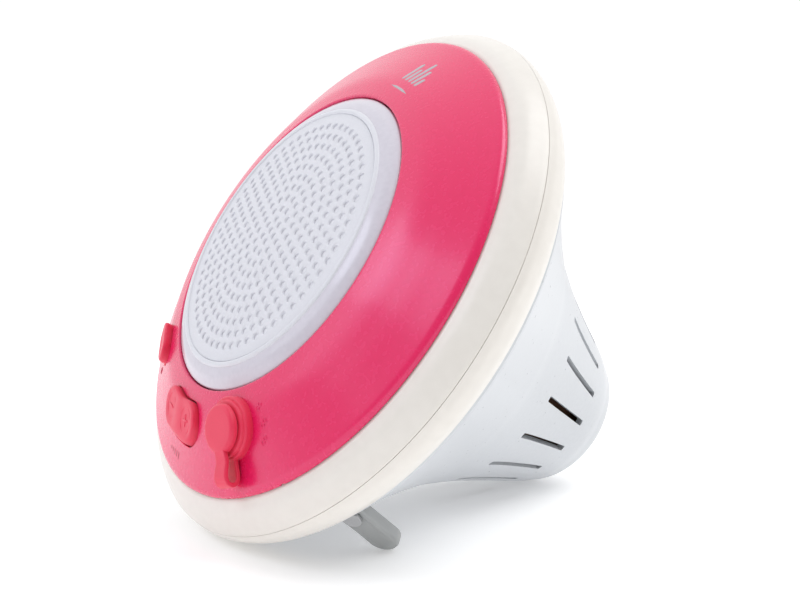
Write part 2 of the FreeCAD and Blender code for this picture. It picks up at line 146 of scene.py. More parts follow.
@dataclass(frozen=True)
class Finish:
    """One procedural surface finish.

    Attributes:
        colour: main colour, linear.
        second: colour that the pattern mixes in.
        rough: lowest and highest roughness.
        grain: size of the pattern, in millimetres.
        relief: depth of the pattern's bump, in millimetres.
    """

    name: str
    colour: Colour
    second: Colour
    rough: Point
    grain: float
    relief: float
    pattern: Pattern = Pattern.SPECKLE
    metallic: float = 0.0
    specular: float = 0.5
    tint: Colour = (1.0, 1.0, 1.0)
    coat: float = 0.0
    coat_rough: float = 0.04
    subsurface: float = 0.0
    reach: float = 2.0
    sheen: float = 0.0
    glow: float = 0.0

    def material(self) -> bpy.types.Material:
        """The finish's material, made once."""
        made = bpy.data.materials.get(self.name)
        return made or self._build()

    def _build(self) -> bpy.types.Material:
        """Builds the node tree.

        Returns:
            The new material.
        """
        made = bpy.data.materials.new(self.name)
        made.use_nodes = True
        tree = made.node_tree
        shader = tree.nodes["Principled BSDF"]
        self._set_constants(shader)
        factor = self._pattern(tree)
        ramp = tree.nodes.new("ShaderNodeValToRGB")
        ramp.color_ramp.elements[0].position = 0.3
        ramp.color_ramp.elements[1].position = 0.7
        ramp.color_ramp.elements[0].color = (*self.colour, 1.0)
        ramp.color_ramp.elements[1].color = (*self.second, 1.0)
        spread = tree.nodes.new("ShaderNodeMapRange")
        spread.inputs["To Min"].default_value = self.rough[0]
        spread.inputs["To Max"].default_value = self.rough[1]
        bump = tree.nodes.new("ShaderNodeBump")
        bump.inputs["Strength"].default_value = 1.0
        bump.inputs["Distance"].default_value = self.relief * MM
        tree.links.new(factor, ramp.inputs["Fac"])
        tree.links.new(factor, spread.inputs["Value"])
        tree.links.new(factor, bump.inputs["Height"])
        tree.links.new(ramp.outputs["Color"], shader.inputs["Base Color"])
        tree.links.new(spread.outputs["Result"], shader.inputs["Roughness"])
        tree.links.new(bump.outputs["Normal"], shader.inputs["Normal"])
        if self.glow and hasattr(made, "cycles"):
            made.cycles.emission_sampling = "NONE"
        return made

    def _set_constants(self, shader: bpy.types.Node) -> None:
        """Sets what is the same all over the surface on the shader's own sockets.

        Args:
            shader: the material's main shader.
        """
        values = {
            "Metallic": self.metallic,
            "Specular IOR Level": self.specular,
            "Coat Weight": self.coat,
            "Coat Roughness": self.coat_rough,
            "Subsurface Weight": self.subsurface,
            "Subsurface Scale": self.reach * MM,
            "Sheen Weight": self.sheen,
            "Emission Strength": self.glow,
        }
        for socket, value in values.items():
            shader.inputs[socket].default_value = value
        shader.inputs["Specular Tint"].default_value = (*self.tint, 1.0)
        shader.inputs["Subsurface Radius"].default_value = (1.0, 0.85, 0.7)
        shader.inputs["Emission Color"].default_value = (*self.colour, 1.0)

    def _pattern(self, tree: bpy.types.NodeTree) -> bpy.types.NodeSocket:
        """Adds the pattern's nodes.

        Args:
            tree: the material's tree.

        Returns:
            A socket that runs from 0 to 1 over the pattern.
        """
        place = tree.nodes.new("ShaderNodeTexCoord")
        turn = tree.nodes.new("ShaderNodeMapping")
        turn.vector_type = "TEXTURE"
        turn.inputs["Location"].default_value = PLACE.to_translation()
        turn.inputs["Rotation"].default_value = PLACE.to_euler()
        size = self.grain * MM
        stretch = 25.0 if self.pattern is Pattern.BRUSHED else 1.0
        turn.inputs["Scale"].default_value = (size * stretch, size, size)
        tree.links.new(place.outputs["Object"], turn.inputs["Vector"])
        if self.pattern is Pattern.WEAVE:
            return self._weave(tree, turn.outputs["Vector"])
        if self.pattern is Pattern.TURNED:
            wave = tree.nodes.new("ShaderNodeTexWave")
            wave.wave_type = "RINGS"
            wave.rings_direction = "Z"
            wave.inputs["Distortion"].default_value = 1.5
            tree.links.new(turn.outputs["Vector"], wave.inputs["Vector"])
            return wave.outputs["Fac"]
        if self.pattern is Pattern.CAST:
            cells = tree.nodes.new("ShaderNodeTexVoronoi")
            cells.feature = "SMOOTH_F1"
            tree.links.new(turn.outputs["Vector"], cells.inputs["Vector"])
            return cells.outputs["Distance"]
        noise = tree.nodes.new("ShaderNodeTexNoise")
        noise.inputs["Detail"].default_value = 1.0 if self.pattern is Pattern.PEEL else 5.0
        noise.inputs["Scale"].default_value = 1.0
        tree.links.new(turn.outputs["Vector"], noise.inputs["Vector"])
        return noise.outputs["Fac"]

    @staticmethod
    def _weave(tree: bpy.types.NodeTree, vector: bpy.types.NodeSocket) -> bpy.types.NodeSocket:
        """Crosses two sets of bands.

        Args:
            tree: the material's tree.
            vector: the pattern's coordinates.

        Returns:
            The woven height, from 0 to 1.
        """
        cross = tree.nodes.new("ShaderNodeMath")
        cross.operation = "MULTIPLY"
        for index, direction in enumerate("XY"):
            bands = tree.nodes.new("ShaderNodeTexWave")
            bands.bands_direction = direction
            bands.inputs["Scale"].default_value = 1.0
            tree.links.new(vector, bands.inputs["Vector"])
            tree.links.new(bands.outputs["Fac"], cross.inputs[index])
        return cross.outputs["Value"]


PINK_GLOSS = Finish("pink_gloss", (0.78, 0.008, 0.098), (0.80, 0.010, 0.106), (0.25, 0.29), 1.6, 0.003,
                    Pattern.PEEL, specular=0.75, tint=(0.80, 0.72, 1.0), coat=0.2, coat_rough=0.12)
CORAL_RUBBER = Finish("coral_rubber", (0.78, 0.024, 0.082), (0.82, 0.030, 0.094), (0.42, 0.56), 0.5, 0.002,
                      sheen=0.12)
GRILLE_SATIN = Finish("grille_satin", (0.68, 0.685, 0.735), (0.71, 0.715, 0.765), (0.34, 0.46), 0.7, 0.001)
FROSTED = Finish("frosted_trim", (0.60, 0.575, 0.645), (0.63, 0.605, 0.675), (0.20, 0.27), 1.4, 0.0006,
                 Pattern.PEEL, coat=0.3, coat_rough=0.12)
RING_SATIN = Finish("ring_satin", (0.80, 0.765, 0.715), (0.82, 0.785, 0.735), (0.27, 0.30), 3.0, 0.003,
                    Pattern.PEEL)
SHELL_WHITE = Finish("shell_white", (0.61, 0.63, 0.66), (0.63, 0.65, 0.68), (0.26, 0.32), 1.2, 0.0005,
                     Pattern.PEEL)
FOOT_GREY = Finish("foot_grey", (0.135, 0.137, 0.132), (0.155, 0.157, 0.152), (0.30, 0.42), 0.6, 0.002)
SILVER_PRINT = Finish("silver_print", (0.46, 0.43, 0.46), (0.50, 0.47, 0.50), (0.30, 0.42), 0.15, 0.0005,
                      metallic=0.3)
DARK_PRINT = Finish("dark_print", (0.42, 0.008, 0.045), (0.46, 0.012, 0.052), (0.30, 0.40), 0.3, 0.0005)

SLOT_FINISHES = {
    "bezel_pink": PINK_GLOSS,
    "key_rubber": CORAL_RUBBER,
    "grille_white": GRILLE_SATIN,
    "trim_frosted": FROSTED,
    "ring_white": RING_SATIN,
    "housing_white": SHELL_WHITE,
    "foot_grey": FOOT_GREY,
    "frame_plastic": Finish("frame_plastic", (0.10, 0.10, 0.11), (0.13, 0.13, 0.14), (0.4, 0.55), 0.8, 0.02),
    "cloth": Finish("acoustic_cloth", (0.80, 0.80, 0.85), (0.88, 0.88, 0.92), (0.8, 0.95), 0.12, 0.01,
                    Pattern.WEAVE, sheen=0.3),
    "steel": Finish("plated_steel", (0.60, 0.60, 0.61), (0.68, 0.68, 0.69), (0.22, 0.36), 0.2, 0.004,
                    Pattern.BRUSHED, metallic=1.0),
    "ferrite": Finish("ferrite", (0.05, 0.05, 0.055), (0.09, 0.09, 0.095), (0.5, 0.7), 0.8, 0.05,
                      Pattern.CAST, metallic=0.4),
    "ballast_iron": Finish("primed_iron", (0.17, 0.075, 0.035), (0.24, 0.11, 0.055), (0.5, 0.7), 1.2, 0.06,
                           Pattern.CAST, metallic=0.2),
    "board": Finish("solder_mask", (0.010, 0.085, 0.040), (0.016, 0.12, 0.055), (0.28, 0.4), 1.5, 0.02,
                    Pattern.SPECKLE, coat=0.3),
    "chip_black": Finish("moulded_black", (0.012, 0.012, 0.014), (0.02, 0.02, 0.023), (0.4, 0.55), 0.3, 0.02),
    "led_white": Finish("led_lens", (0.86, 0.82, 0.60), (0.90, 0.88, 0.72), (0.15, 0.25), 0.6, 0.01,
                        Pattern.PEEL, subsurface=0.4, reach=1.0),
    "cone_paper": Finish("pressed_paper", (0.020, 0.020, 0.022), (0.04, 0.04, 0.043), (0.75, 0.9), 0.5, 0.06,
                         sheen=0.1),
    "seal_black": Finish("black_rubber", (0.013, 0.013, 0.014), (0.02, 0.02, 0.022), (0.5, 0.65), 0.6, 0.02),
    "coil_copper": Finish("coil_copper", (0.75, 0.30, 0.13), (0.85, 0.38, 0.18), (0.25, 0.4), 0.12, 0.03,
                          Pattern.TURNED, metallic=1.0),
    "cell_wrap": Finish("cell_wrap", (0.03, 0.12, 0.36), (0.04, 0.15, 0.42), (0.2, 0.3), 2.5, 0.02,
                        Pattern.PEEL, coat=0.3),
    "socket_metal": Finish("socket_metal", (0.66, 0.66, 0.67), (0.72, 0.72, 0.73), (0.2, 0.32), 0.2, 0.003,
                           Pattern.BRUSHED, metallic=1.0),
}


# ---- modelling by operators ----

def activate(piece: Piece) -> None:
    """Selects one piece alone."""
    bpy.ops.object.select_all(action="DESELECT")
    piece.select_set(True)
    bpy.context.view_layer.objects.active = piece


@contextmanager
def editing(piece: Piece) -> Iterator[bmesh.types.BMesh]:
    """Edit mode on one piece, with nothing selected at first.

    Args:
        piece: the mesh object to shape.

    Yields:
        Its edit mesh, for selecting in code.
    """
    activate(piece)
    bpy.ops.object.mode_set(mode="EDIT")
    bpy.ops.mesh.select_all(action="DESELECT")
    mesh = bmesh.from_edit_mesh(piece.data)
    yield mesh
    bpy.ops.object.mode_set(mode="OBJECT")


def primitive(add: Callable, name: str, **size: object) -> Piece:
    """Adds a named primitive with nothing else selected.

    Args:
        add: the operator that adds it.
        name: the piece's name.
        size: the operator's own settings.

    Returns:
        The new object, with its place in its mesh.
    """
    bpy.ops.object.select_all(action="DESELECT")
    add(**size)
    piece = bpy.context.object
    piece.name = piece.data.name = name
    bpy.ops.object.transform_apply(location=True, rotation=True, scale=True)
    return piece


def clean(piece: Piece) -> None:
    """Merges doubled points, drops loose ones and turns every face outwards.

    Args:
        piece: the mesh object to clean.
    """
    with editing(piece):
        bpy.ops.mesh.select_all(action="SELECT")
        bpy.ops.mesh.remove_doubles(threshold=0.0005)
        bpy.ops.mesh.dissolve_degenerate(threshold=0.0005)
        bpy.ops.mesh.delete_loose()
        bpy.ops.mesh.select_all(action="SELECT")
        bpy.ops.mesh.normals_make_consistent(inside=False)


def spun(name: str, section: Sequence[Point], steps: int = STEPS) -> Piece:
    """Spins a closed half section round the axis.

    Args:
        name: the piece's name.
        section: its (radius, height) corners in order.
        steps: facets round the turn.

    Returns:
        The closed solid.
    """
    add = bpy.ops.mesh.primitive_circle_add
    piece = primitive(add, name, vertices=len(section), fill_type="NOTHING")
    for vertex, (radius, height) in zip(piece.data.vertices, section):
        vertex.co = (radius, 0.0, height)
    with editing(piece):
        bpy.ops.mesh.select_all(action="SELECT")
        bpy.ops.mesh.spin(steps=steps, angle=math.tau, center=(0, 0, 0), axis=(0, 0, 1))
    clean(piece)
    return piece


def smooth_run(points: Sequence[Point], count: int) -> list[Point]:
    """A smooth curve through points.

    Args:
        points: the curve's (radius, height) points in order.
        count: samples on each stretch between two points.

    Returns:
        The sampled curve, both ends included.
    """
    spots = [Vector(p) for p in points]
    padded = [2 * spots[0] - spots[1], *spots, 2 * spots[-1] - spots[-2]]
    run: list[Point] = []
    for a, b, c, d in zip(padded, padded[1:], padded[2:], padded[3:]):
        for k in range(count):
            t = k / count
            bend = (2 * b + (c - a) * t + (2 * a - 5 * b + 4 * c - d) * t ** 2
                    + (3 * b - a - 3 * c + d) * t ** 3) / 2
            run.append((bend.x, bend.y))
    return run + [tuple(spots[-1])]


def arc_run(centre: Point, radius: float, start: float, end: float, count: int = 6) -> list[Point]:
    """Points on an arc, from one angle to another in degrees."""
    turns = [math.radians(start + (end - start) * k / count) for k in range(count + 1)]
    return [(centre[0] + radius * math.cos(t), centre[1] + radius * math.sin(t)) for t in turns]


def modify(piece: Piece, kind: str, **settings: object) -> None:
    """Adds a modifier to a piece and applies it.

    Args:
        piece: the mesh object.
        kind: the modifier's type.
        settings: the modifier's own settings.
    """
    activate(piece)
    modifier = piece.modifiers.new(kind.lower(), kind)
    for key, value in settings.items():
        setattr(modifier, key, value)
    bpy.ops.object.modifier_apply(modifier=modifier.name)


def bevelled(piece: Piece, width: float, segments: int = 3, angle: float = 35.0) -> Piece:
    """Rounds every edge sharper than an angle."""
    modify(piece, "BEVEL", width=width, segments=segments, limit_method="ANGLE",
           angle_limit=math.radians(angle), use_clamp_overlap=True)
    return piece


def merged(pieces: Sequence[Piece], name: str) -> Piece:
    """Joins pieces into the first one.

    Args:
        pieces: the mesh objects to join.
        name: the result's name.

    Returns:
        The joined object.
    """
    bpy.ops.object.select_all(action="DESELECT")
    for piece in pieces:
        piece.select_set(True)
    bpy.context.view_layer.objects.active = pieces[0]
    if len(pieces) > 1:
        bpy.ops.object.join()
    pieces[0].name = pieces[0].data.name = name
    return pieces[0]


def carved(piece: Piece, cutters: Sequence[Piece]) -> Piece:
    """Cuts solids out of a piece and removes them.

    Args:
        piece: what is cut.
        cutters: the solids to cut out of it.

    Returns:
        The same piece.
    """
    tool = merged(cutters, piece.name + "_cutter")
    modify(piece, "BOOLEAN", object=tool, operation="DIFFERENCE", solver="EXACT", use_self=False)
    bpy.data.objects.remove(tool)
    return piece


def placed(piece: Piece, place: Matrix) -> Piece:
    """Moves a piece's mesh, leaving its object at the origin."""
    piece.data.transform(place)
    return piece


def copied(piece: Piece, place: Matrix) -> Piece:
    """A copy of a piece with its own mesh, moved.

    Args:
        piece: the original.
        place: how the copy is moved.

    Returns:
        The copy.
    """
    twin = piece.copy()
    twin.data = piece.data.copy()
    bpy.context.collection.objects.link(twin)
    return placed(twin, place)


def settle(piece: Piece, finish: Finish, body: str, stands_for: Sequence[str] = (),
           sharp: float = 35.0) -> Piece:
    """Finishes a piece: shading, place in the row frame, material, body and the nodes it stands for.

    Args:
        piece: the finished mesh, in the speaker's frame.
        finish: its surface.
        body: the CAD body that it rides on.
        stands_for: the CAD nodes that it replaces.
        sharp: the angle above which an edge stays sharp, in degrees.

    Returns:
        The same piece.
    """
    activate(piece)
    bpy.ops.object.shade_smooth_by_angle(angle=math.radians(sharp))
    placed(piece, PLACE @ IN_MM)
    piece.data.materials.clear()
    piece.data.materials.append(finish.material())
    if body:
        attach(piece, body)
    if stands_for:
        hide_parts(*stands_for)
    LOG.info("%s: %d faces on %s", piece.name, len(piece.data.polygons), body or "two bodies")
    return piece


# ---- shapes that lie on the face ----

@dataclass(frozen=True)
class Dome:
    """The bezel's outer face, from its inner edge to its shoulder."""

    points: tuple[Point, ...] = ((48.4, 10.1), (55.7, 8.2), (62.3, 5.35), (68.8, 2.35), (73.8, 0.1))
    samples: int = 12

    def run(self, lift: float = 0.0) -> list[Point]:
        """The face's curve, lifted along the axis."""
        return [(r, z + lift) for r, z in smooth_run(self.points, self.samples)]

    def height(self, radius: float) -> float:
        """Height of the face at a radius.

        Args:
            radius: distance from the axis.

        Returns:
            The height along the axis.
        """
        run = self.run()
        for (r0, z0), (r1, z1) in zip(run, run[1:]):
            if radius <= r1:
                return z0 + (z1 - z0) * (radius - r0) / (r1 - r0)
        return run[-1][1]

    def wrap(self, piece: Piece, bearing: float, at: float = 60.0) -> Piece:
        """Lays a flat piece on the face.

        Args:
            piece: drawn with x along the rim, y inwards and z up from the face.
            bearing: where its middle goes.
            at: the radius where its middle goes.

        Returns:
            The same piece.
        """
        steps = {}
        for vertex in piece.data.vertices:
            x, y, z = vertex.co
            radius = at - y
            key = round(radius, 3)
            steps.setdefault(key, self.height(radius))
            angle = math.radians(bearing) + x / at
            vertex.co = (radius * math.sin(angle), -radius * math.cos(angle), steps[key] + z)
        return piece


DOME = Dome()
Outline = Callable[[float], float]
Relief = Callable[[float, float], float]


def stadium(half_length: float, half_width: float, waist: float = 0.0) -> Outline:
    """The outline of a pill along x, as a radius at each angle.

    Args:
        half_length: half its whole length.
        half_width: half its width.
        waist: how far its inner side, towards +y, pulls in at the middle.

    Returns:
        A function from angle to radius.
    """
    straight = half_length - half_width

    def reach(angle: float) -> float:
        """Radius of the pill at one angle.

        Args:
            angle: from the x axis, in radians.

        Returns:
            The radius.
        """
        c, s = abs(math.cos(angle)), abs(math.sin(angle))
        flat = half_width / s if s > 1e-9 else math.inf
        if flat * c <= straight:
            pull = waist if math.sin(angle) > 0 else 0.25 * waist
            return flat * (1.0 - pull / half_width * math.exp(-(flat * c / 3.9) ** 2))
        return straight * c + math.sqrt(max(half_width ** 2 - (straight * s) ** 2, 0.0))

    return reach


def pad(name: str, outline: Outline, top: float, walls: Sequence[Point], round_over: float = 0.01,
        relief: Relief | None = None, cells: int = 40) -> Piece:
    """A moulded pad with a rounded shoulder and a crowned or channelled top.

    Args:
        name: the piece's name.
        outline: its radius at each angle.
        top: height of its top.
        walls: each step down its side, as (how far outwards of the outline, height).
        round_over: radius of its shoulder.
        relief: height added to the top at each x and y.
        cells: rows of faces across it.

    Returns:
        The closed solid.
    """
    add = bpy.ops.mesh.primitive_grid_add
    piece = primitive(add, name, x_subdivisions=cells, y_subdivisions=cells, size=2.0)
    for vertex in piece.data.vertices:
        u, v = vertex.co.x, vertex.co.y
        x, y = u * math.sqrt(1 - v * v / 2), v * math.sqrt(1 - u * u / 2)
        share, angle = math.hypot(x, y), math.atan2(y, x)
        reach = outline(angle)
        inside = min((1 - share) * reach, round_over)
        drop = round_over - math.sqrt(max(round_over ** 2 - (round_over - inside) ** 2, 0.0))
        px, py = share * reach * math.cos(angle), share * reach * math.sin(angle)
        lift = relief(px, py) if relief and share < 0.999 else 0.0
        vertex.co = (px, py, top - drop + lift)
    with editing(piece) as mesh:
        for edge in mesh.edges:
            edge.select = edge.is_boundary
        bmesh.update_edit_mesh(piece.data)
        for outward, height in walls:
            bpy.ops.mesh.extrude_edges_move()
            for vertex in [v for v in mesh.verts if v.select]:
                angle = math.atan2(vertex.co.y, vertex.co.x)
                reach = outline(angle) + outward
                vertex.co = (reach * math.cos(angle), reach * math.sin(angle), height)
            bmesh.update_edit_mesh(piece.data)
        bpy.ops.mesh.edge_face_add()
    clean(piece)
    return piece


# ---- sub-assemblies ----

@dataclass
class FaceShell:
    """The glossy pink bezel, with the wells for the keys and the port."""

    edge_r: float = 75.0
    wall: float = 2.4
    rim_r: float = 48.4
    skirt_z: float = -1.85
    notch_bearings: tuple[float, ...] = (0.5, 10.6, 31.9)

    def section(self) -> list[Point]:
        """The bezel's closed half section.

        Returns:
            Its (radius, height) corners in order.
        """
        outer = DOME.run()
        inner = [(r, z - self.wall) for r, z in reversed(outer) if r > self.rim_r + self.wall]
        lip = arc_run((self.rim_r + 0.55, 9.4), 0.55, 180, 100, 4)
        shoulder = [(74.35, -0.25), (74.75, -0.6), (self.edge_r, -1.1), (self.edge_r, self.skirt_z)]
        foot = [(73.0, self.skirt_z), (73.0, -4.1), (71.0, -4.1)]
        return lip + outer[1:] + shoulder + foot + inner + [(50.8, 5.6), (self.rim_r, 5.6)]

    def build(self, keys: "KeySet", port: "PortUnit") -> Piece:
        """Spins the shell and cuts its wells.

        Args:
            keys: the keys whose wells are cut.
            port: the port whose hole is cut.

        Returns:
            The bezel.
        """
        shell = spun("bezel_shell", self.section(), steps=300)
        wells = [keys.rocker_well(), keys.side_well(), port.hole()]
        return carved(shell, wells + self.notches())

    def notches(self) -> list[Piece]:
        """Cutters for the small snap notches in the bezel's lower edge.

        Returns:
            The cutters.
        """
        cutters = []
        for bearing in self.notch_bearings:
            cube = primitive(bpy.ops.mesh.primitive_cube_add, "notch", size=1.0, scale=(1.4, 1.2, 0.9))
            cutters.append(placed(cube, seat(bearing, self.edge_r, self.skirt_z)))
        return cutters

    def dress(self, shell: Piece) -> None:
        """Gives the bezel its gloss."""
        settle(shell, PINK_GLOSS, "root", ["bezel"], sharp=28)


@dataclass
class KeySet:
    """The rocker for louder and quieter, and the single key beside it."""

    at: float = 59.0
    gap: float = 0.40
    flare: float = 0.55
    rise: float = 1.9
    depth: float = 3.4
    rocker_bearing: float = -12.0
    rocker_half: Point = (12.4, 5.75)
    rocker_waist: float = 0.55
    lobe: float = 6.4
    side_bearing: float = -49.5
    side_half: Point = (6.9, 3.8)

    def _well(self, half: Point, bearing: float, waist: float) -> Piece:
        """A cutter a little larger than a key, wider at the surface.

        Args:
            half: half the key's length and width.
            bearing: where its middle lies.
            waist: how far the key's inner side pulls in.

        Returns:
            The cutter.
        """
        outline = stadium(*half, waist)
        mouth = self.gap + self.flare
        walls = [(mouth, 5.9), (mouth, 0.15), (self.gap + 0.12, -0.25), (self.gap, -0.7), (self.gap, -6.0)]
        return DOME.wrap(pad("well", outline, 6.0, walls, cells=32), bearing, self.at)

    def rocker_well(self) -> Piece:
        """The cutter for the rocker's well."""
        return self._well(self.rocker_half, self.rocker_bearing, self.rocker_waist)

    def side_well(self) -> Piece:
        """The cutter for the side key's well."""
        return self._well(self.side_half, self.side_bearing, 0.0)

    def rocker(self) -> Piece:
        """The waisted rocker, with an oval and a sign on each half.

        Returns:
            The rocker, laid on the bezel.
        """
        def relief(x: float, y: float) -> float:
            """Height of the dishes and the ridge between them."""
            dish = 0.42 * math.exp(-((abs(x) - self.lobe) / 3.6) ** 4 - (y / 3.6) ** 4)
            return 0.12 * math.exp(-(x / 2.0) ** 2) - dish

        body = pad("rocker", stadium(*self.rocker_half, self.rocker_waist), self.rise, [(0.0, -self.depth)],
                   1.1, relief, cells=64)
        signs = [self._bar(-self.lobe, 3.4, 0.6), self._bar(self.lobe, 3.4, 0.6), self._bar(self.lobe, 0.6, 3.4)]
        ovals = [self._oval(x) for x in (-self.lobe, self.lobe)]
        return DOME.wrap(merged([body, *signs, *ovals], "rocker"), self.rocker_bearing, self.at)

    def _bar(self, x: float, width: float, height: float) -> Piece:
        """One raised stroke of a sign.

        Args:
            x: where it lies along the key.
            width: its size along the key.
            height: its size across the key.

        Returns:
            The stroke.
        """
        floor = self.rise - 0.42
        bar = primitive(bpy.ops.mesh.primitive_cube_add, "stroke", size=1.0,
                        location=(x, 0, floor), scale=(width, height, 0.42))
        return bevelled(bar, 0.16, 2)

    def _oval(self, x: float) -> Piece:
        """The raised oval round a sign.

        Args:
            x: where it lies along the key.

        Returns:
            The oval.
        """
        ring = primitive(bpy.ops.mesh.primitive_torus_add, "oval", major_segments=48, minor_segments=8,
                         major_radius=3.35, minor_radius=0.2)
        stretch = Matrix.Translation((x, 0, self.rise - 0.30)) @ Matrix.Diagonal((1.0, 1.1, 0.8, 1.0))
        return placed(ring, stretch)

    def side(self) -> Piece:
        """The single key, slightly dished.

        Returns:
            The key, laid on the bezel.
        """
        def relief(x: float, y: float) -> float:
            """Height of the shallow dish."""
            return -0.4 * math.exp(-(x / 4.6) ** 4 - (y / 2.4) ** 4)

        walls = [(0.0, -self.depth)]
        key = pad("side", stadium(*self.side_half), self.rise + 0.7, walls, 0.9, relief, cells=40)
        return DOME.wrap(key, self.side_bearing, self.at)

    def dress(self) -> None:
        """Builds both keys in soft coral rubber."""
        settle(self.rocker(), CORAL_RUBBER, "rocker", ["rocker_key"])
        settle(self.side(), CORAL_RUBBER, "side_button", ["side_key"])


@dataclass
class PortUnit:
    """The strapped rubber cap over the sockets."""

    bearing: float = 18.8
    at: float = 59.0
    slope: float = 24.0
    flange_r: float = 8.6
    flange_top: float = 2.7
    mouth_r: float = 5.4
    cap_r: float = 6.6
    cap_low: float = 2.85
    cap_top: float = 5.2
    strap_w: float = 5.0
    strap_t: float = 1.25

    def place(self) -> Matrix:
        """The port's own frame on the bezel."""
        return seat(self.bearing, self.at, DOME.height(self.at), self.slope)

    def hole(self) -> Piece:
        """The cutter for the port's hole in the bezel."""
        add = bpy.ops.mesh.primitive_cylinder_add
        plug = primitive(add, "hole", vertices=96, radius=self.flange_r - 0.8, depth=24.0)
        return placed(plug, self.place())

    def flange(self) -> Piece:
        """The cap's rubber frame.

        Returns:
            The frame, in its place.
        """
        low, top, outer = -0.6, self.flange_top, self.flange_r
        step = arc_run((outer - 0.5, top - 1.2), 0.5, 0, 90, 5)
        edge = arc_run((outer - 1.5, top - 0.5), 0.5, 0, 90, 5)
        section = [(self.mouth_r + 1.2, -4.6), (outer - 1.0, -4.6), (outer - 1.0, low), (outer - 0.1, low),
                   (outer, low + 0.2), *step, (outer - 0.9, top - 0.72), *edge, (self.mouth_r + 0.3, top),
                   (self.mouth_r, top - 0.3), (self.mouth_r, 0.9), (self.mouth_r + 1.2, 0.9)]
        return placed(spun("port_flange", section, steps=96), self.place())

    def cap(self) -> Piece:
        """The round lid and the plug under it.

        Returns:
            The cap, in its place.
        """
        edge = arc_run((self.cap_r - 1.2, self.cap_top - 1.25), 1.2, 0, 90, 8)
        plug_r = self.mouth_r - 0.6
        section = [(0.0, 0.8), (plug_r - 0.4, 0.8), (plug_r, 1.2), (plug_r, self.cap_low),
                   (self.cap_r - 0.5, self.cap_low), (self.cap_r, self.cap_low + 0.4), *edge,
                   (3.5, self.cap_top - 0.08), (0.0, self.cap_top - 0.12)]
        return placed(spun("port_lid", section, steps=96), self.place())

    def strap(self) -> Piece:
        """The band that leaves the cap, loops over and comes back to the frame.

        Returns:
            The strap, in its place.
        """
        route = [(-5.2, 4.5), (-7.0, 4.2), (-8.8, 4.05), (-10.8, 4.5), (-12.7, 4.75), (-14.2, 4.2),
                 (-14.9, 2.9), (-14.3, 1.5), (-12.6, 0.85), (-10.2, 0.95), (-7.8, 1.1)]
        run = smooth_run(route, 5)
        add = bpy.ops.mesh.primitive_grid_add
        band = primitive(add, "port_band", x_subdivisions=8, y_subdivisions=len(run) - 1, size=2.0)
        for vertex in band.data.vertices:
            y, z = run[round((vertex.co.y + 1) / 2 * (len(run) - 1))]
            half = self.strap_w / 2 * (0.84 + 0.20 * math.sin(math.pi * (vertex.co.y + 1) / 2))
            vertex.co = (vertex.co.x * half, y, z)
        modify(band, "SOLIDIFY", thickness=self.strap_t, offset=0.0)
        clean(band)
        bevelled(band, 0.35, 3)
        return placed(band, self.place())

    def dress(self) -> None:
        """Builds the port's rubber parts; the strap is left on no body."""
        settle(self.flange(), CORAL_RUBBER, "root", ["port_frame"])
        settle(self.cap(), CORAL_RUBBER, "cap", ["port_cap"])
        band = settle(self.strap(), CORAL_RUBBER, "", ["port_strap"])
        near = PLACE @ IN_MM @ self.place()
        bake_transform(band)


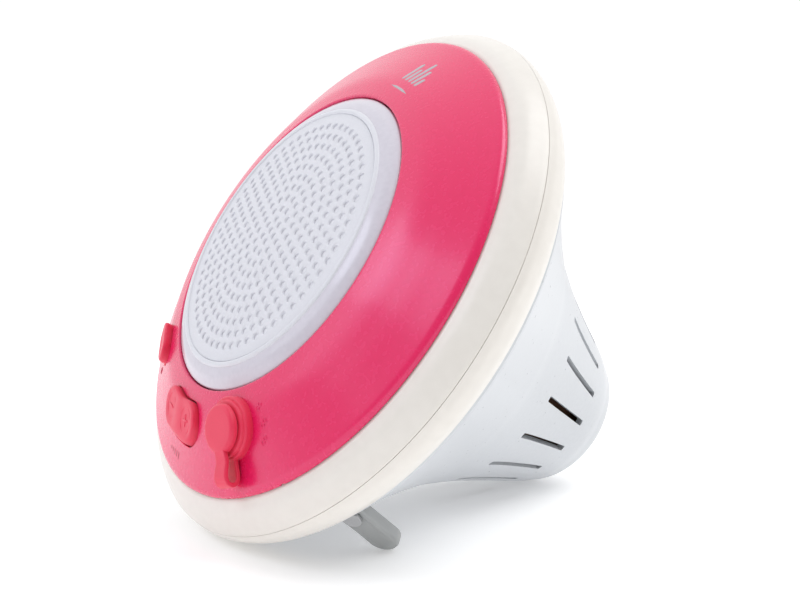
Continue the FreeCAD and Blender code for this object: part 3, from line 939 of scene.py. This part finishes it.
@dataclass
class GrilleUnit:
    """The perforated dome and the frosted band round it."""

    radius: float = 40.72
    thick: float = 0.55
    crown: float = 14.3
    dome_r: float = 445.0
    hole_r: float = 0.95
    pitch: float = 3.62
    rings: int = 10
    felt_r: float = 38.6

    def _punch(self) -> Piece:
        """One round cutter with a flared mouth, at the middle."""
        flare = [(0.0, -self.thick - 0.6), (self.hole_r, -self.thick - 0.6), (self.hole_r, -0.42),
                 (self.hole_r + 0.1, -0.2), (self.hole_r + 0.3, -0.05), (self.hole_r + 0.6, 0.2), (0.0, 0.2)]
        return spun("punch", flare, steps=20)

    def grille(self) -> Piece:
        """The dome with its rings of holes.

        Returns:
            The dome.
        """
        add = bpy.ops.mesh.primitive_cylinder_add
        sheet = primitive(add, "grille_dome", vertices=180, radius=self.radius, depth=self.thick,
                          location=(0, 0, -self.thick / 2))
        bevelled(sheet, 0.12, 2)
        self._ring_cuts(sheet)
        first = self._punch()
        punches = [first]
        for ring in range(1, self.rings + 1):
            for n in range(6 * ring):
                place = seat(60.0 * n / ring, self.pitch * ring, 0.0)
                punches.append(copied(first, Matrix.Translation(place.to_translation())))
        carved(sheet, punches)
        self._dome(sheet)
        clean(sheet)
        return sheet

    def _dome(self, sheet: Piece) -> None:
        """Bends a flat sheet to the grille's dome."""
        for vertex in sheet.data.vertices:
            r2 = vertex.co.x ** 2 + vertex.co.y ** 2
            vertex.co.z += self.crown - r2 / (2 * self.dome_r)

    def felt(self) -> Piece:
        """The cloth close behind the holes.

        Returns:
            The cloth.
        """
        low, high = -self.thick - 0.5, -self.thick - 0.02
        radii = [self.felt_r * k / 12 for k in range(13)]
        section = [(r, high) for r in radii] + [(r, low) for r in reversed(radii)]
        disc = spun("grille_felt", section, steps=96)
        self._dome(disc)
        return disc

    def _ring_cuts(self, sheet: Piece) -> None:
        """Divides both flat faces into rings, so that they can follow the dome.

        Args:
            sheet: the flat sheet, before its holes.
        """
        for side in (1, -1):
            with editing(sheet) as mesh:
                for face in mesh.faces:
                    face.select = face.normal.z * side > 0.99 and len(face.verts) > 4
                bmesh.update_edit_mesh(sheet.data)
                for _ in range(13):
                    bpy.ops.mesh.inset(thickness=2.9, depth=0.0)
                bpy.ops.mesh.poke()

    def lip(self) -> Piece:
        """The soft white ridge round the dome."""
        crest = smooth_run([(40.74, 12.2), (41.1, 12.66), (41.7, 12.75), (42.3, 12.5), (42.6, 12.1)], 5)
        return spun("grille_lip", [(40.74, 11.0), *crest, (42.6, 11.0)])

    def trim(self) -> Piece:
        """The frosted band.

        Returns:
            The band.
        """
        crest = smooth_run([(42.5, 12.2), (43.6, 11.95), (45.4, 11.3), (47.6, 9.9), (48.05, 9.3)], 6)
        section = [(40.8, 10.5), (42.3, 10.9), *crest, (48.1, 7.6), (46.4, 7.2), (46.4, -4.0), (44.6, -4.0),
                   (44.6, 8.4), (38.8, 8.8), (38.8, 10.4)]
        return spun("trim_band", section)

    def dress(self) -> None:
        """Builds the dome and the band."""
        settle(self.grille(), GRILLE_SATIN, "root", ["speaker_grille"], sharp=40)
        settle(self.lip(), GRILLE_SATIN, "root", sharp=40)
        settle(self.felt(), SLOT_FINISHES["cloth"], "root", ["grille_cloth"], sharp=40)
        settle(self.trim(), FROSTED, "root", ["grille_trim"], sharp=40)


@dataclass
class FloatRing:
    """The two shells of the hollow white ring."""

    wall: float = 1.9

    def front(self) -> Piece:
        """The shell between the bezel and the parting line.

        Returns:
            The front shell.
        """
        skin = smooth_run([(75.9, -2.15), (79.2, -3.75), (82.15, -6.9), (83.1, -8.3)], 8)
        lining = smooth_run([(81.2, -8.3), (80.6, -7.6), (78.3, -5.6), (75.7, -4.05)], 6)
        section = [(73.2, -2.1), (75.6, -2.1), *skin, (83.1, -8.42), (81.2, -8.42), *lining, (73.2, -4.05)]
        return spun("float_ring_front", section)

    def rear(self) -> Piece:
        """The shell behind the parting line.

        Returns:
            The rear shell.
        """
        skin = smooth_run([(83.2, -8.7), (83.55, -11.25), (82.7, -14.8), (80.8, -17.8), (79.3, -18.85)], 8)
        lining = smooth_run([(78.6, -17.0), (80.6, -14.4), (81.7, -11.25), (81.35, -8.7)], 6)
        section = [(83.15, -8.58), *skin, (79.2, -18.9), (62.4, -18.9), (62.4, -17.1), *lining, (81.35, -8.58)]
        return spun("float_ring_rear", section)

    def dress(self) -> None:
        """Builds both shells in creamy satin plastic."""
        settle(self.front(), RING_SATIN, "root", ["ring_front"], sharp=40)
        settle(self.rear(), RING_SATIN, "root", ["ring_rear"], sharp=40)


@dataclass
class RearHousing:
    """The slotted trumpet behind the ring, its blunt end and the recesses for the feet."""

    trumpet: tuple[Point, ...] = ((76.2, -22.8), (70.3, -30.0), (64.4, -37.5), (58.9, -45.0), (53.8, -52.5),
                                  (49.1, -60.0), (41.6, -75.0), (35.4, -90.0), (29.8, -105.0))
    tail: tuple[Point, ...] = ((27.2, -110.5), (24.9, -115.0), (20.6, -118.4))
    wall: float = 2.8
    slots: int = 20
    first_slot: float = 7.8
    slot_size: tuple[float, float, float] = (1.9, 26.0, 27.4)
    slot_z: float = -85.0

    def section(self) -> list[Point]:
        """The housing's closed half section.

        Returns:
            Its (radius, height) corners in order.
        """
        outer = smooth_run([*self.trumpet, *self.tail], 8)
        inner = [(r - self.wall, z) for r, z in reversed(outer) if -111.0 < z < -38.0]
        flange = [(62.4, -19.1), (78.3, -19.1), (78.6, -19.4), (78.6, -20.4), (78.3, -20.8), (77.1, -21.3)]
        end = [(20.6, -115.9), (17.6, -115.8), (22.0, -114.4), (24.4, -111.4)]
        outer_end = [p for p in outer if p[1] > -118.4]
        return flange + outer_end + [(20.75, -118.3)] + end + inner + [(62.4, -37.0)]

    def build(self, feet: "Feet") -> Piece:
        """Spins the trumpet and cuts its slots and recesses.

        Args:
            feet: the feet whose recesses are cut.

        Returns:
            The housing.
        """
        shell = spun("rear_trumpet", self.section(), steps=260)
        slot = primitive(bpy.ops.mesh.primitive_cube_add, "slot", size=1.0, scale=self.slot_size)
        bevelled(slot, 0.45, 3)
        step = 360.0 / self.slots
        places = [seat(self.first_slot + step * n, 34.0, self.slot_z) for n in range(self.slots)]
        cutters = [copied(slot, place) for place in places]
        bpy.data.objects.remove(slot)
        return carved(shell, cutters + [feet.recess(side) for side in (-1, 1)])

    def plug(self) -> Piece:
        """The domed plug that closes the tail.

        Returns:
            The plug.
        """
        face = smooth_run([(20.4, -118.45), (17.6, -119.9), (11.0, -121.35)], 6)
        section = [(0.0, -113.6), (20.4, -113.6), *face, (3.8, -121.4), (3.4, -121.1), (3.4, -118.7), (1.75, -118.7),
                   (1.75, -114.2), (0.0, -114.2)]
        return spun("tail_plug", section, steps=128)

    def dress(self, feet: "Feet") -> None:
        """Builds the housing in cool white plastic."""
        settle(self.build(feet), SHELL_WHITE, "root", ["rear_housing"], sharp=32)
        settle(self.plug(), SHELL_WHITE, "root", ["base_plug"], sharp=32)


@dataclass
class Feet:
    """The two fold-out feet and the recesses that they fold into."""

    bearing: float = 30.0
    at: float = 71.6
    height: float = -28.2
    splay: float = 13.0
    length: float = 16.4
    width: float = 9.0
    thick: float = 3.4

    def place(self, side: int) -> Matrix:
        """A foot's pivot, with z along the pin and y away from the foot's tip."""
        return seat(side * self.bearing, self.at, self.height, 90.0 - self.splay)

    def recess(self, side: int) -> Piece:
        """The cutter for the room that a foot sweeps.

        Args:
            side: -1 for the left foot, 1 for the right.

        Returns:
            The cutter.
        """
        half, reach = self.width / 2 + 0.5, self.length + 5.2
        arc = arc_run((0, 0), reach, 270, 180, 16)
        corner = arc_run((0, 0), half, 90, 0, 6)
        outline = [(half, -reach), *arc, (-reach, half), *corner]
        add = bpy.ops.mesh.primitive_circle_add
        room = primitive(add, "recess", vertices=len(outline), fill_type="NGON")
        for vertex, (x, y) in zip(room.data.vertices, outline):
            vertex.co = (x * side, y, -self.thick / 2 - 0.3)
        with editing(room):
            bpy.ops.mesh.select_all(action="SELECT")
            bpy.ops.mesh.extrude_region_move(TRANSFORM_OT_translate={"value": (0, 0, 18.0)})
        clean(room)
        return placed(room, self.place(side))

    def foot(self, side: int) -> Piece:
        """One tongue, with a thumb channel in its outer face.

        Args:
            side: -1 for the left foot, 1 for the right.

        Returns:
            The foot, unfolded.
        """
        half = (self.length + self.width / 2) / 2

        def relief(x: float, y: float) -> float:
            """Height of the thumb channel.

            Args:
                x: place along the tongue.
                y: place across it.

            Returns:
                The height, below zero in the channel.
            """
            across = max(0.0, 1 - (abs(y) / 2.6) ** 4)
            along = max(0.0, 1 - (abs(x - 2.0) / 6.0) ** 6)
            return -0.5 * across * along

        tongue = pad("foot", stadium(half, self.width / 2), self.thick / 2, [(0.0, -self.thick / 2)], 0.8,
                     relief, cells=44)
        turn = Matrix.Translation((0, self.width / 2 - half, 0)) @ Matrix.Rotation(math.radians(-90), 4, "Z")
        tongue.name = "foot_tongue_right" if side > 0 else "foot_tongue_left"
        bevelled(tongue, 0.45, 3, 50)
        return placed(tongue, self.place(side) @ turn)

    def dress(self) -> None:
        """Builds both feet in grey plastic."""
        for side, body, node in ((-1, "left_foot", "foot_left"), (1, "right_foot", "foot_right")):
            settle(self.foot(side), FOOT_GREY, body, [node])


@dataclass
class FaceMarks:
    """Plain printed and embossed marks on the bezel."""

    emblem_bearing: float = 157.0
    emblem_at: float = 61.0
    bars: tuple[float, ...] = (3.4, 6.2, 9.0, 5.4, 7.4)
    levels_place: Point = (-13.1, 69.3)
    ring_place: Point = (-46.0, 66.8)
    dots_place: Point = (9.2, 63.0)
    icon_places: tuple[Point, ...] = ((30.4, 56.0), (31.2, 60.4), (30.1, 64.3))

    def stroke(self, name: str, x: float, y: float, half: Point, turn: float = 0.0) -> Piece:
        """A thin round-ended printed stroke.

        Args:
            name: the stroke's name.
            x: its middle along the rim.
            y: its middle towards the grille.
            half: half its size along x and y.
            turn: degrees that it is turned by.

        Returns:
            The stroke, flat.
        """
        longer, shorter = max(half), min(half)
        mark = pad(name, stadium(longer, shorter), 0.055, [(0.0, -0.25)], 0.02, cells=12)
        spin = turn + (90.0 if half[1] > half[0] else 0.0)
        return placed(mark, Matrix.Translation((x, y, 0)) @ Matrix.Rotation(math.radians(spin), 4, "Z"))

    def emblem(self) -> Piece:
        """Five level bars over a line; they stand with their feet towards the grille.

        Returns:
            The emblem, laid on the bezel.
        """
        strokes = []
        for n, length in enumerate(self.bars):
            strokes.append(self.stroke("bar", (n - 2) * 2.3, 3.6 - length / 2, (0.72, length / 2)))
        strokes.append(self.stroke("line", 0.0, 6.6, (6.4, 0.36)))
        return DOME.wrap(merged(strokes, "emblem_print"), self.emblem_bearing, self.emblem_at)

    def key_marks(self) -> Piece:
        """Small dark marks below the keys and beside the port.

        Returns:
            The marks, laid on the bezel.
        """
        levels = [self.stroke("level", (n - 2) * 1.7, 0.0, (0.32, 0.45 + 0.14 * n)) for n in range(5)]
        rocker = DOME.wrap(merged(levels, "levels"), *self.levels_place)
        ring = primitive(bpy.ops.mesh.primitive_torus_add, "ring", major_segments=32, minor_segments=6,
                         major_radius=0.9, minor_radius=0.16)
        side = DOME.wrap(merged([ring, self.stroke("tick", 0.0, -0.9, (0.2, 0.6))], "side"), *self.ring_place)
        dots = [self.stroke("dash", -2.2, 1.2, (0.2, 0.9))]
        dots += [self.stroke("dot", 0.6 + 0.5 * n, -0.6 - 1.1 * n, (0.34, 0.3)) for n in range(3)]
        port = DOME.wrap(merged(dots, "dots"), *self.dots_place)
        return merged([rocker, side, port], "key_prints")

    def icons(self) -> Piece:
        """Three small embossed pairs of rings beside the port.

        Returns:
            The rings, laid on the bezel.
        """
        rings = []
        for bearing, at in self.icon_places:
            for offset in (-0.5, 0.5):
                loop = primitive(bpy.ops.mesh.primitive_torus_add, "loop", major_segments=32, minor_segments=8,
                                 major_radius=0.6, minor_radius=0.17, location=(offset, offset * 0.8, 0.03))
                rings.append(DOME.wrap(loop, bearing, at))
        return merged(rings, "port_icons")

    def dress(self) -> None:
        """Lays the marks on the bezel."""
        settle(self.emblem(), SILVER_PRINT, "root")
        settle(self.key_marks(), DARK_PRINT, "root")
        settle(self.icons(), PINK_GLOSS, "root")


@dataclass
class Innards:
    """The CAD nodes that are shown as they are, with their finishes."""

    record: dict = field(default_factory=lambda: frame["record"])

    def dress(self) -> None:
        """Gives each node the finish of its material slot."""
        for row in self.record["subparts"]:
            node = frame["nodes"][row["node"]]
            finish = SLOT_FINISHES[row["material_slot"]].material()
            for place in node.material_slots:
                place.material = finish
            if not node.material_slots:
                node.data.materials.append(finish)
            LOG.info("%s: CAD node in %s", row["node"], finish.name)


@dataclass(frozen=True)
class Softbox:
    """One rectangular studio light, aimed at the speaker.

    Attributes:
        azimuth: degrees from -Y towards +X.
        elevation: degrees above the floor.
        distance: metres from the speaker.
        size: its sides, in metres.
        radiance: how bright its face is beside the white background.
    """

    name: str
    azimuth: float
    elevation: float
    distance: float
    size: Point
    radiance: float
    colour: Colour = (1.0, 1.0, 1.0)

    def build(self, target: Vector) -> None:
        """Adds the light, aimed at a point.

        Args:
            target: the point it faces, in metres.
        """
        data = bpy.data.lights.new(self.name, "AREA")
        data.shape = "RECTANGLE"
        data.size, data.size_y = self.size
        data.energy = math.pi * self.size[0] * self.size[1] * self.radiance
        data.color = self.colour
        turn, rise = math.radians(self.azimuth), math.radians(self.elevation)
        away = Vector((math.cos(rise) * math.sin(turn), -math.cos(rise) * math.cos(turn), math.sin(rise)))
        lamp = bpy.data.objects.new(self.name, data)
        lamp.location = target + away * self.distance
        lamp.rotation_euler = (-away).to_track_quat("-Z", "Y").to_euler()
        bpy.context.scene.collection.objects.link(lamp)


@dataclass
class Studio:
    """The pale floor, the soft light and the camera."""

    camera_place: tuple[float, float, float] = (0.26548, -0.19027, 0.09295)
    look: tuple[float, float, float] = (-0.81296, 0.57590, -0.08625)
    lens: float = 46.7
    bright: float = 1.04        # the white backdrop's side of the room
    dim: float = 0.42           # the darker side of the room
    boxes: tuple[Softbox, ...] = (
        Softbox("face_box", -20.0, 40.0, 0.9, (0.46, 0.26), 3.3, (0.82, 0.86, 1.0)),
        Softbox("low_box", -24.0, 20.0, 1.0, (0.50, 0.30), 0.9, (0.88, 0.90, 1.0)),
        Softbox("top_box", 130.0, 62.0, 1.2, (0.80, 0.80), 3.0),
    )

    def camera(self) -> None:
        """Sets the camera."""
        data = bpy.data.cameras.new("camera")
        data.lens = self.lens
        data.clip_start = 0.01
        eye = bpy.data.objects.new("camera", data)
        eye.location = self.camera_place
        eye.rotation_euler = Vector(self.look).to_track_quat("-Z", "Y").to_euler()
        bpy.context.scene.collection.objects.link(eye)
        bpy.context.scene.camera = eye

    def floor(self) -> None:
        """Lays the pale floor, lit softly from below like a light table."""
        plane = primitive(bpy.ops.mesh.primitive_plane_add, "floor", size=6.0)
        placed(plane, Matrix.Translation((0, 0, CAD_BOX[0].z - 0.0002)))
        paint = Finish("light_table", (0.93, 0.93, 0.93), (0.95, 0.95, 0.95), (0.7, 0.8), 40.0, 0.0, glow=0.24)
        plane.data.materials.append(paint.material())

    def room(self) -> None:
        """A room that is white on the backdrop's side and dimmer on the other."""
        world = bpy.data.worlds.new("studio")
        world.use_nodes = True
        tree = world.node_tree
        place = tree.nodes.new("ShaderNodeTexCoord")
        side = tree.nodes.new("ShaderNodeVectorMath")
        side.operation = "DOT_PRODUCT"
        side.inputs[1].default_value = (self.look[0], self.look[1], 0.25)
        spread = tree.nodes.new("ShaderNodeMapRange")
        spread.interpolation_type = "SMOOTHSTEP"
        spread.inputs["From Min"].default_value = -0.55
        spread.inputs["From Max"].default_value = 0.45
        spread.inputs["To Min"].default_value = self.dim
        spread.inputs["To Max"].default_value = self.bright
        shade = tree.nodes["Background"]
        shade.inputs["Color"].default_value = (1.0, 1.0, 1.0, 1.0)
        tree.links.new(place.outputs["Generated"], side.inputs[0])
        tree.links.new(side.outputs["Value"], spread.inputs["Value"])
        tree.links.new(spread.outputs["Result"], shade.inputs["Strength"])
        bpy.context.scene.world = world

    def build(self) -> None:
        """Sets the whole stage."""
        self.camera()
        self.floor()
        self.room()
        bpy.context.scene.view_settings.view_transform = "Standard"
        for box in self.boxes:
            box.build(PLACE.to_translation())


def main() -> None:
    """Builds every sub-assembly in order."""
    logging.basicConfig(level=logging.INFO, format="%(message)s")
    Studio().build()
    keys, port, feet, face = KeySet(), PortUnit(), Feet(), FaceShell()
    Innards().dress()
    face.dress(face.build(keys, port))
    keys.dress()
    port.dress()
    GrilleUnit().dress()
    FloatRing().dress()
    RearHousing().dress(feet)
    feet.dress()
    FaceMarks().dress()


if __name__ == "__main__":
    main()
